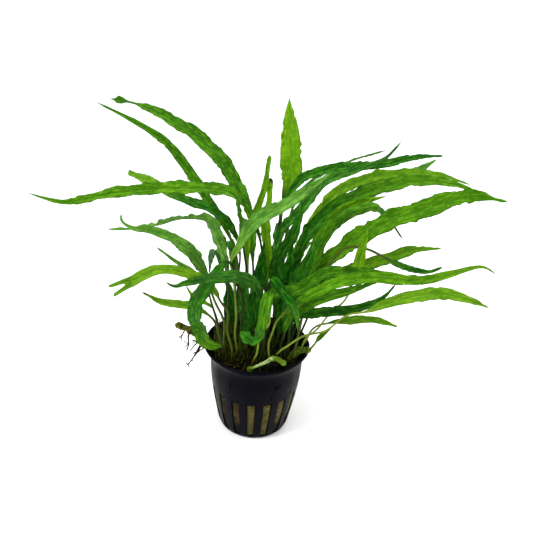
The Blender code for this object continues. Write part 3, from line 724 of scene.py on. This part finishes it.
def wool_material():
    """Damp khaki rock wool, rotten on the left, black at the foot of its sides, and painted dark on top as
    shade inside the pot.
    """
    paint = Paint("rock_wool", 0.95, 0.15)
    fibre = paint.noise(900.0, 6.0, 0.75, (1.0, 1.0, 0.35))
    clump = paint.noise(240.0, 4.0, 0.6).ramp(0.3, 0.7)
    speck = paint.noise(1000.0, 4.0, 0.7).ramp(0.53, 0.61)
    colour = clump.mix(WOOL_DARK, WOOL_KHAKI)
    colour = (fibre.ramp(0.42, 0.66) * 0.6).mix(colour, WOOL_FIBRE)
    colour = (speck * 0.85).mix(colour, WOOL_SPECK)

    # The clumps make the edges of the stained places uneven.
    x, _, z = paint.object_place().parts()
    patch = (clump - 0.5) * 0.003
    uneven_x = x + patch
    uneven_z = z + patch
    rot = uneven_x.ramp(*ROT_STARTS) * uneven_x.ramp(*ROT_ENDS, 1.0, 0.0)
    rot = rot * uneven_x.ramp(*WORST_ROT_ENDS, 1.0, 0.84) * clump.ramp(0.45, 0.75, 1.0, 0.66)
    colour = rot.mix(colour, WOOL_ROTTEN)
    off_middle = (x - FOOT_MIDDLE).maths("ABSOLUTE")
    foot = uneven_z.ramp(*FOOT_FADES, 0.94, 0.0) * off_middle.ramp(*FOOT_STARTS)
    colour = foot.mix(colour, WOOL_BLACK)
    # Painted shade on the top of the wool, inside the pot.
    colour = uneven_z.ramp(*TOP_SHADE_STARTS).mix(colour, clump.mix(WOOL_BLACK, WOOL_TOP_SHADE))
    return paint.finish(colour, fibre, 0.5, 0.9)


def bark_material(name, colours, scales, changes):
    """Rhizome skin: scaly and patchy between two colours, with dark scale marks, and painted black below the
    lip as shade inside the pot.

    changes lists other colours that it turns to along X, as (start, end, colours), with places in metres.
    """
    paint = Paint(name, 0.62, 0.08)
    x, _, z = paint.object_place().parts()
    patch = paint.noise(420.0, 4.0, 0.6).ramp(0.35, 0.65)
    colour = patch.mix(*colours)
    for start, end, new_colours in changes:
        colour = x.ramp(start, end).mix(colour, patch.mix(*new_colours))
    scale = paint.noise(800.0, 4.0, 0.7).ramp(0.47, 0.58)
    colour = (scale * 0.80).mix(colour, scales)
    # Painted shade: the stem goes black below the lip, inside the pot.
    colour = z.ramp(*STEM_SHADE_HEIGHTS, 0.93, 0.0).mix(colour, STEM_POT_SHADE)
    return paint.finish(colour, paint.noise(1100.0, 4.0, 0.6), 0.5, 0.9)


def root_material(name, colours):
    """Dull thin root, patchy between two colours."""
    paint = Paint(name, 0.85, 0.04)
    colour = paint.noise(380.0).ramp(0.40, 0.66).mix(*colours)
    return paint.finish(colour, paint.noise(2200.0), 0.1, 0.6)


# Fronds.


def blade_half_widths(name, share, width, bare):
    """Half the frond's width at each share of its length: a blade that tapers to its tip, and a stipe."""
    cut, rounding = CUT_TIPS.get(name, (0.0, 1.0))
    along = np.clip((share - bare) / (1.0 - bare), 0.0, 1.0)
    fall = np.minimum(1.0, (1.0 - along) / TAPERS.get(name, USUAL_TAPER))
    blunt = cut * np.sqrt(np.clip((1 - share) / rounding, 0.0, 1.0))
    closing = np.maximum(1 - (1 - fall) ** TIP_POWER, blunt)
    blade = 0.5 * width * ease(along / BLADE_RISE) * closing
    if name in NECKED:
        neck, narrowing, leaf, growth = NECKED[name]
        blade = blade * (1 - narrowing * bump((share - neck) / NECK_LENGTH))
        blade = blade + growth * width * bump((share - leaf) / LEAFY_END_LENGTH)
    stipe = STIPE_RADIUS * np.clip((1.0 - share) / STIPE_POINT, 0.2, 1.0)
    return blade, stipe


def frond_axes(name, centres, share, bare, tilt, twist):
    """Directions along, across and out of a frond. It has its face tilt halfway up the blade."""
    middle_share = (bare + 1) / 2
    lean = math.radians(tilt)
    first_normal = np.array([0.0, -math.sin(lean), math.cos(lean)])
    tangents, normals = turned_frames(centres, first_normal, round(middle_share * (len(centres) - 1)))
    turn = math.radians(twist) * (share - middle_share)
    if name in END_TURNS:
        start, end, angle = END_TURNS[name]
        turn = turn + math.radians(angle) * ease((share - start) / (end - start))
    turn = turn[:, None]
    up = normals * np.cos(turn) - np.cross(tangents, normals) * np.sin(turn)
    return tangents, np.cross(tangents, up), up


def paint_frond(piece, name, along, lateral, blade, reach, brown):
    """Gives the mesh what its material reads: its markings, and its own coordinates in centimetres."""
    mask = np.ones((*lateral.shape, 4))
    mask[..., 0] = blade[:, None]
    mask[..., 1] = reach
    mask[..., 2] = brown
    # The stipe's lightness, painted darker near its root as the shade down in the crown.
    mask[..., 3] = LIGHT_STIPES.get(name, SHADE_PAINTED_STIPE) * ease(along / 14.0 + 0.35)[:, None]
    layer = piece.data.color_attributes.new("leaf", "FLOAT_COLOR", "POINT")
    layer.data.foreach_set("color", mask.astype(np.float32).ravel())
    rise = np.broadcast_to(along[:, None], lateral.shape)
    chart = (np.stack([lateral, rise], axis=-1) / CM).reshape(-1, 2)
    corners = np.zeros(len(piece.data.loops), np.int32)
    piece.data.loops.foreach_get("vertex_index", corners)
    uv = piece.data.uv_layers.new(name="leaf_cm")
    uv.data.foreach_set("uv", chart[corners].astype(np.float32).ravel())


def make_frond(index, name, width, bare, tilt, twist, route, material):
    """A frond: a round stipe that flattens into a blade with a midrib, ruffled margins and its own tip."""
    rng = np.random.default_rng(index)
    length = length_of(smooth_route(route, MOST_RINGS))
    count = int(min(MOST_RINGS, max(LEAST_RINGS, length / RING_SPACING)))
    centres = smooth_route(route, count)
    share = np.linspace(0.0, 1.0, count)
    along = share * length
    tangents, side, up = frond_axes(name, centres, share, bare, tilt, twist)

    blade, stipe = blade_half_widths(name, share, width, bare)
    stipe = stipe * rng.uniform(0.72, 1.0)
    flat = ease((share - bare) * FLATTENING)
    ruffled = np.minimum(1.0, blade / (0.25 * width))
    halves = []
    lifts = []
    for _ in range(2):
        rough = np.clip(0.45 + 0.7 * waves(rng, along, 21.0), 0.05, 1.2)
        crimps = rough * summed_waves(rng, along, MARGIN_CRIMPS)
        edge = 1 + ruffled * (summed_waves(rng, along, MARGIN_SWELLS) + crimps)
        halves.append(np.maximum(blade * edge, stipe))
        lift = summed_waves(rng, along, RUFFLE_WAVES)
        lifts.append(width * lift * ruffled * RUFFLES.get(name, 1.0))

    # Each ring runs over the blade from margin to margin and back under it: place is where it is across,
    # from -1 to 1, and level is 1 above and -1 below.
    over = np.linspace(-1.0, 1.0, ACROSS)
    under = over[::-1][1:-1]
    place = np.concatenate([over, under])[None, :]
    level = np.concatenate([np.ones(ACROSS), -np.ones(len(under))])[None, :]
    reach = np.abs(place)
    half = np.where(place < 0, halves[0][:, None], halves[1][:, None])
    lateral = place * half
    gutter = reach * half * math.tan(math.radians(FOLDS.get(name, USUAL_FOLD)))
    ruffle = reach**2 * np.where(place < 0, lifts[0][:, None], lifts[1][:, None])
    quilt_phase = 2 * math.pi * along[:, None] / QUILT_LENGTH + QUILT_SLANT * place
    quilt = QUILT_HEIGHT * np.sin(quilt_phase) * np.sin(math.pi * reach) ** 2
    quilt = quilt * (1 + waves(rng, along, 9.0)[:, None])
    rib = np.where(level > 0, -RIB_GROOVE, -RIB_RIDGE) * bump(lateral / RIB_HALF_WIDTH)
    thick = 0.5 * BLADE_THICKNESS * (1 - 0.55 * reach**2) * np.sqrt(1 - reach**6)
    blade_height = level * thick + gutter + ruffle + quilt + rib
    round_height = level * np.sqrt(1 - reach**2) * np.minimum(STIPE_RADIUS, stipe)[:, None]
    height = round_height + (blade_height - round_height) * (flat * ruffled)[:, None]
    free = (1 - flat) * ease(along / 10.0)
    lateral = lateral + (summed_waves(rng, along, STIPE_SWAY) * free)[:, None]
    height = height + (summed_waves(rng, along, STIPE_BOB) * free)[:, None]
    points = centres[:, None, :] + up[:, None, :] * height[..., None]
    if name == FORKED:
        near_tip = ease((share - FORK_FROM) / (1 - FORK_FROM))[:, None]
        lateral = lateral + (FORK_SPREAD * width * place - lateral) * near_tip
        forward = FORK_DEPTH * near_tip * ease((reach - 0.05) / 0.55)
        points = points + tangents[:, None, :] * forward[..., None]
    points = points + side[:, None, :] * lateral[..., None]

    around = place.shape[1]
    faces = ring_faces(count, around)[:-1] + blade_end((count - 1) * around, ACROSS)
    piece = add_mesh("leaf_" + name, points.reshape(-1, 3), faces, material)
    shows_blade = flat * np.where(share > (bare + 1) / 2, 1.0, ruffled)
    brown = 0.0
    if name in BROWN_FROM:
        brown = ease((share[:, None] - BROWN_FROM[name] - 0.015 * (1 - place)) / 0.014 + 0.5)
    paint_frond(piece, name, along, lateral, shows_blade, reach, brown)
    settle(piece, frond_slots["frond_" + name], "frond_" + name)


def make_fronds():
    shade_of = {name: shade for shade, names in SHADES.items() for name in names.split()}
    materials = {shade: leaf_material("leaf_" + shade, shade) for shade in SHADE_COLOURS}
    for index, (name, width, bare, tilt, twist, route) in enumerate(FRONDS):
        shade = shade_of.get(name, USUAL_SHADE)
        material = materials[shade]
        if name in TURNING:
            material = leaf_material("leaf_of_frond_" + name, shade, TURNING[name])
        make_frond(index, name, width, bare, tilt, twist, read_route(route), material)


# Pot and rock wool.


def turned_grid(profile, sides, bend):
    """Points of a profile turned about Z, as (rows, sides, 3). bend moves them out and up or down."""
    radius = np.repeat(profile[:, :1], sides, axis=1)
    height = np.repeat(profile[:, 1:], sides, axis=1)
    angle = math.radians(SLOT_FIRST) + 2 * math.pi * np.arange(sides)[None, :] / sides
    angle = np.repeat(angle, len(profile), axis=0)
    radius, height = bend(radius, angle, height)
    return np.stack([radius * np.cos(angle), radius * np.sin(angle), height], axis=-1)


def turned_away(angle, azimuth):
    """The angle from an azimuth in degrees, between minus and plus half a turn."""
    return np.angle(np.exp(1j * (angle - math.radians(azimuth))))


def pot_profile():
    """The pot's section from the middle of its foot, up the outside, over the rolled lip and down inside."""
    wall = smooth_route([(radius, 0.0, height) for radius, height in POT_OUTSIDE[1:-1]], WALL_ROWS)[:, [0, 2]]
    lip = [
        (LIP_RADIUS - LIP_ROLL + LIP_ROLL * math.cos(a), POT_HEIGHT - LIP_ROLL + LIP_ROLL * math.sin(a))
        for a in np.linspace(0.0, math.pi, 9)
    ]
    inner = [(radius - WALL, height) for radius, height in wall[::-1][4:-6]]
    foot = [(0.0, 0.0), (8.0, 0.0), (14.0, 0.0), (BASE_RADIUS - 1.0, 0.0), (BASE_RADIUS - 0.4, 0.1)]
    floor = [(inner[-1][0] - 0.4, WALL), (9.0, WALL), (0.0, WALL)]
    return np.array(foot + [tuple(p) for p in wall] + lip + inner + floor)


def bend_pot(radius, angle, height):
    """Soft plastic: the wall is slightly out of round, and it has small dents near the top."""
    lift = ease((height - 6.0) / 38.0)
    wobble = sum(size * np.sin(number * angle + phase) for size, number, phase in POT_WAVES)
    upper_wall = (height > 27) * (radius > 20) * (radius < 25)
    for azimuth, level, size in POT_DENTS:
        away = np.hypot(turned_away(angle, azimuth) * DENT_RADIUS, height - level)
        wobble = wobble - DENT_DEPTH * bump(away / size) * upper_wall
    return radius + lift * wobble * (radius > 16), height


def slot_blocks():
    """Two rings of corners for each slot's block, as wide as the slot at its two ends."""
    blocks = []
    for k in range(SLOT_COUNT):
        a = math.radians(SLOT_FIRST) + 2 * math.pi * k / SLOT_COUNT
        out = np.array([math.cos(a), math.sin(a), 0.0])
        side = np.array([-math.sin(a), math.cos(a), 0.0])
        for height, width in SLOT_ENDS:
            for reach, edge in ((SLOT_INNER, -1), (SLOT_OUTER, -1), (SLOT_OUTER, 1), (SLOT_INNER, 1)):
                blocks.append(out * reach + side * edge * width / 2 + np.array([0, 0, height]))
    return np.array(blocks).reshape(SLOT_COUNT, len(SLOT_ENDS), 4, 3)


def make_pot(material):
    """The turned wall and floor, with the slots cut out."""
    profile = pot_profile()
    grid = turned_grid(profile[1:-1], POT_SIDES, bend_pot)
    rows = grid.shape[0]
    points = np.vstack([grid.reshape(-1, 3), [[0, 0, profile[0][1]], [0, 0, profile[-1][1]]]])
    faces = ring_faces(rows, POT_SIDES)[:-2]
    last = (rows - 1) * POT_SIDES
    for j in range(POT_SIDES):
        k = (j + 1) % POT_SIDES
        faces.append((rows * POT_SIDES, k, j))
        faces.append((rows * POT_SIDES + 1, last + j, last + k))
    pot = add_mesh("pot", points, faces, material)
    cutter = join_tubes("slot_cutter", slot_blocks(), 4, material)
    cutter.data.shade_flat()
    cut = pot.modifiers.new("Slots", "BOOLEAN")
    cut.operation = "DIFFERENCE"
    cut.object = cutter
    graph = bpy.context.evaluated_depsgraph_get()
    done = bpy.data.meshes.new_from_object(pot.evaluated_get(graph))
    pot.modifiers.clear()
    pot.data = done
    bpy.data.objects.remove(cutter, do_unlink=True)
    done.set_sharp_from_angle(angle=math.radians(35))
    settle(pot, "pot_plastic", "net_pot")


def bend_wool(radius, angle, height):
    """Rock wool: lumpy, pressed a little into the slots, with a clumpy top."""
    slot = np.angle(np.exp(1j * SLOT_COUNT * (angle - math.radians(SLOT_FIRST)))) / SLOT_COUNT
    slot_heights = [height_of for height_of, _ in SLOT_ENDS]
    half_widths = [width / 2 - SLOT_CLEARANCE for _, width in SLOT_ENDS]
    half = np.interp(height, slot_heights, half_widths) / np.maximum(radius, 1.0)
    lowest, highest = WOOL_BULGE_HEIGHTS
    inside = ease((half - np.abs(slot)) * radius / 0.35)
    inside = inside * ease((height - lowest) / 0.5) * ease((highest - height) / 0.8)
    lumps = np.zeros_like(radius)
    clumps = np.zeros_like(radius)
    for index in np.ndindex(radius.shape):
        r, a, z = radius[index], angle[index], height[index]
        here = Vector((r * math.cos(a), r * math.sin(a), z))
        lumps[index] = noise.noise(here * 0.55) * 0.35 + noise.noise(here * 1.6) * 0.25
        clumps[index] = noise.noise(here * 0.16) * 2.0 + noise.noise(here * 0.6) * 0.9
    on_side = ease((radius - 15.0) / 2.0)
    out = on_side * (inside * (WOOL_BULGE + 0.6 * lumps) + (1 - inside) * np.minimum(0.0, lumps - 0.15))
    on_top = ease((height - (WOOL_TOP - 1.5)) / 1.0)
    return radius + out, height + on_top * (clumps + 0.6) * ease((24.0 - radius) / 4.0)


def make_wool(material):
    """The plug that fills the pot, from its floor to below the lip."""
    foot = [(17.2, 0.0, WALL + 0.15), (17.35, 0.0, 2.1)]
    side = [(radius - WALL - WOOL_SLACK, 0.0, height + 0.6) for radius, height in POT_OUTSIDE[2:6]]
    edge = [(22.3, 0.0, 38.8), (20.5, 0.0, WOOL_TOP)]
    outline = smooth_route(foot + side + edge, WOOL_SIDE_ROWS)[:, [0, 2]]
    inward = [(radius, WOOL_TOP) for radius in np.linspace(20.0, 0.6, WOOL_TOP_ROWS)]
    profile = np.array([tuple(p) for p in outline] + inward)
    grid = turned_grid(profile, WOOL_SIDES, bend_wool)
    wool = add_mesh("rock_wool", grid.reshape(-1, 3), ring_faces(len(profile), WOOL_SIDES), material)
    settle(wool, "rock_wool", "rockwool_plug")


# Rhizomes and roots.


def tube_rings(route, radii, sides, knobs=1.0):
    """Rings of points round a smooth route, with one radius for each ring. knobs scales each point."""
    centres = smooth_route(route, len(radii))
    tangents, normals = turned_frames(centres, np.array([0.1, 0.2, 1.0]), 0)
    side = np.cross(tangents, normals)
    angle = 2 * math.pi * np.arange(sides) / sides
    size = np.repeat(np.asarray(radii)[:, None], sides, axis=1) * knobs
    across = normals[:, None, :] * np.cos(angle)[None, :, None]
    across = across + side[:, None, :] * np.sin(angle)[None, :, None]
    return centres[:, None, :] + across * size[..., None]


def make_rhizome(index, name, radius, route, material):
    """A creeping stem with knobs, scale rings and blunt ends."""
    rng = np.random.default_rng(100 + index)
    length = length_of(smooth_route(route, 60))
    count = int(length / STEM_STEP)
    along = np.linspace(0.0, length, count)
    ends = np.sqrt(np.clip(np.minimum(along + 0.05, length - along + 0.05) / (1.1 * radius), 0.0, 1.0))
    swell = 1 + 0.13 * waves(rng, along, 9.0) + 0.07 * waves(rng, along, 3.4)
    radii = radius * ends * swell * 0.94
    angle = 2 * math.pi * np.arange(STEM_SIDES)[None, :] / STEM_SIDES
    knobs = 1 + 0.10 * np.sin(2 * angle + waves(rng, along, 11.0)[:, None] * 2)
    knobs = knobs + 0.09 * np.sin(5 * angle + along[:, None] * 1.7) + rng.normal(0, 0.02, (count, STEM_SIDES))
    for spot, reach, growth in KNOBS.get(name, []):
        radii = radii * (1 + growth * bump((along - spot * length) / reach))
    rings = tube_rings(route, radii, STEM_SIDES, knobs)
    piece = add_mesh("stem_" + name, rings.reshape(-1, 3), ring_faces(count, STEM_SIDES), material)
    settle(piece, "rhizome", "rhizome_" + name)


def make_rhizomes():
    green_to_brown = [(0.014, 0.020, MOSS_GREEN), (0.0272, 0.0284, BROWN_END)]
    pale_to_green = [(-0.0012, 0.0004, PALE_ROD), (0.0072, 0.0092, MOSS_GREEN)]
    olive = bark_material("rhizome_olive", OLIVE_STEM, OLIVE_SCALES, green_to_brown)
    young = bark_material("rhizome_green", YOUNG_STEM, YOUNG_SCALES, pale_to_green)
    for index, (name, radius, route) in enumerate(RHIZOMES):
        make_rhizome(index, name, radius, read_route(route), young if name == "tip" else olive)


def thinning(radius, count):
    return radius * np.linspace(1.0, 0.6, count)


def make_hanging_roots(material):
    """The rootlets that hang over the left of the lip, and the root under the left stem."""
    rng = np.random.default_rng(7)
    tubes = []
    for radius, route in HANGING_ROOTS:
        points = read_route(route)
        tubes.append(tube_rings(points, thinning(radius, ROOT_RINGS), ROOT_SIDES))
        for _ in range(3):
            start = points[rng.integers(1, len(points))]
            step = np.array([rng.uniform(-1.6, 0.6), rng.uniform(-1.2, 1.2), rng.uniform(-2.0, 0.6)])
            twig = [start, start + step, start + 1.9 * step + rng.normal(0, 0.35, 3)]
            tubes.append(tube_rings(twig, thinning(radius * 0.6, TWIG_RINGS), ROOT_SIDES))
    piece = join_tubes("hanging_roots", tubes, ROOT_SIDES, material)
    settle(piece, "roots", "roots_left")


def make_hairs(name, seed, strands, middle, spread, material, rise, top):
    """Fine roots or moss that wander over the top of the rock wool, within the lip, up to the height top."""
    rng = np.random.default_rng(seed)
    tubes = []
    for _ in range(strands):
        spot = np.array([*rng.normal(middle, spread), HAIR_FLOOR + 0.2 + abs(rng.normal(0, 1.0))])
        heading = rng.uniform(0, 2 * math.pi)
        climb = rng.uniform(-0.1, rise)
        route = [spot]
        for _ in range(6):
            heading += rng.normal(0, 0.7)
            climb += rng.normal(0, 0.18)
            step = np.array([math.cos(heading), math.sin(heading), climb]) * rng.uniform(0.9, 1.9)
            spot = spot + step
            spot[2] = min(max(spot[2], HAIR_FLOOR), top)
            away = math.hypot(spot[0], spot[1])
            if away > HAIR_REACH:
                spot[:2] *= HAIR_REACH / away
            if np.linalg.norm(spot - route[-1]) > 0.8:
                route.append(spot.copy())
        if len(route) > 2 and math.hypot(route[0][0], route[0][1]) < HAIR_REACH:
            tubes.append(tube_rings(route, thinning(rng.uniform(0.10, 0.24), HAIR_RINGS), HAIR_SIDES))
    piece = join_tubes(name, tubes, HAIR_SIDES, material)
    settle(piece, "roots")


def make_roots():
    brown = root_material("root_brown", BROWN_ROOT)
    olive = root_material("root_olive", OLIVE_ROOT)
    make_hanging_roots(brown)
    make_hairs("roots_on_top", 21, 330, (0.0, 0.0), (10.0, 10.0), brown, 0.35, 48.0)
    make_hairs("moss_on_top", 22, 620, (-9.0, 0.0), (7.0, 7.0), olive, 2.6, 60.0)


# Stage, light and camera.


def add_floor():
    paint = Paint("floor", 0.9, 0.2)
    paint.inputs["Base Color"].default_value = FLOOR_COLOUR
    corners = [(x * FLOOR_REACH, y * FLOOR_REACH, 0) for x, y in ((-1, -1), (1, -1), (1, 1), (-1, 1))]
    add_mesh("floor", corners, [(0, 1, 2, 3)], paint.material)


def add_lamp(name, place, size, power):
    """A soft area light aimed at the middle of the plant."""
    data = bpy.data.lights.new(name, "AREA")
    data.shape = "DISK"
    data.size = size * MM
    data.energy = power
    lamp = bpy.data.objects.new(name, data)
    bpy.context.scene.collection.objects.link(lamp)
    lamp.location = Vector(place) * MM
    toward = (Vector(CAMERA_TARGET) - Vector(place)) * MM
    lamp.rotation_euler = toward.to_track_quat("-Z", "Y").to_euler()


def add_world():
    """A studio that lights more from overhead than from the horizon, before a white backdrop."""
    world = bpy.data.worlds.new("studio")
    world.use_nodes = True
    tree = world.node_tree
    height = add_node(tree, "TexCoord", output="Generated").parts()[2].maths("MAXIMUM")
    strength = (height * height).ramp(0.0, 1.0, SKY_LOW, SKY_HIGH)
    backdrop = add_node(tree, "LightPath", output="Is Camera Ray")
    background = tree.nodes["Background"]
    tree.links.new(strength.maths("MAXIMUM", backdrop).socket, background.inputs["Strength"])
    background.inputs["Color"].default_value = WHITE
    bpy.context.scene.world = world


def add_camera():
    """The photograph's viewpoint: level with X, looking down, with a slight roll."""
    down = math.radians(CAMERA_DOWN)
    roll = math.radians(CAMERA_ROLL)
    forward = Vector((0.0, math.cos(down), -math.sin(down)))
    right = Vector((1.0, 0.0, 0.0))
    up = right.cross(forward)
    turned_right = right * math.cos(roll) + up * math.sin(roll)
    turned_up = up * math.cos(roll) - right * math.sin(roll)
    data = bpy.data.cameras.new("camera")
    data.lens = LENS
    data.clip_start = 0.01
    data.clip_end = 30.0
    camera = bpy.data.objects.new("camera", data)
    bpy.context.scene.collection.objects.link(camera)
    turn = Matrix((turned_right, turned_up, -forward)).transposed()
    place = (Vector(CAMERA_TARGET) - forward * CAMERA_DISTANCE) * MM
    camera.matrix_world = Matrix.Translation(place) @ turn.to_4x4()
    bpy.context.scene.camera = camera


def add_stage():
    add_floor()
    add_world()
    for lamp in LAMPS:
        add_lamp(*lamp)
    bpy.context.scene.view_settings.view_transform = "Standard"


frond_slots = {part["node"]: part["material_slot"] for part in frame["record"]["subparts"]}
add_camera()
add_stage()
make_pot(pot_material())
make_wool(wool_material())
make_rhizomes()
make_roots()
make_fronds()
